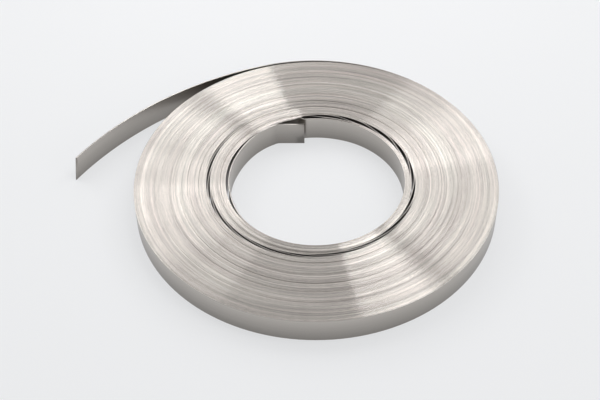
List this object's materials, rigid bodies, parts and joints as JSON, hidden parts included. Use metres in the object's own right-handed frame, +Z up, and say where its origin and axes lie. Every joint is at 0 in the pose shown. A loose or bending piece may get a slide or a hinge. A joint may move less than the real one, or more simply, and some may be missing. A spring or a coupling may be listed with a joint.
{
  "type": "steel strapping",
  "caption": "Flat coil of bright steel strap wound on itself, with a kinked inner end in the bore and a sprung outer tail.",
  "frame": {"origin": "on the axis of the bore, in the plane of the lower end of the coil, which rests on the floor", "axes": "+Z up along the bore, out of the upper end of the coil; +Y towards the inner end at the back; the outer tail points to -X and comes round towards -Y"},
  "size_m": [0.2989, 0.2548, 0.0194],
  "materials": {
    "strap_steel": "bright satin"
  },
  "bodies": {
    "root": {"strap_coil": "strap_steel"}
  },
  "joints": []
}
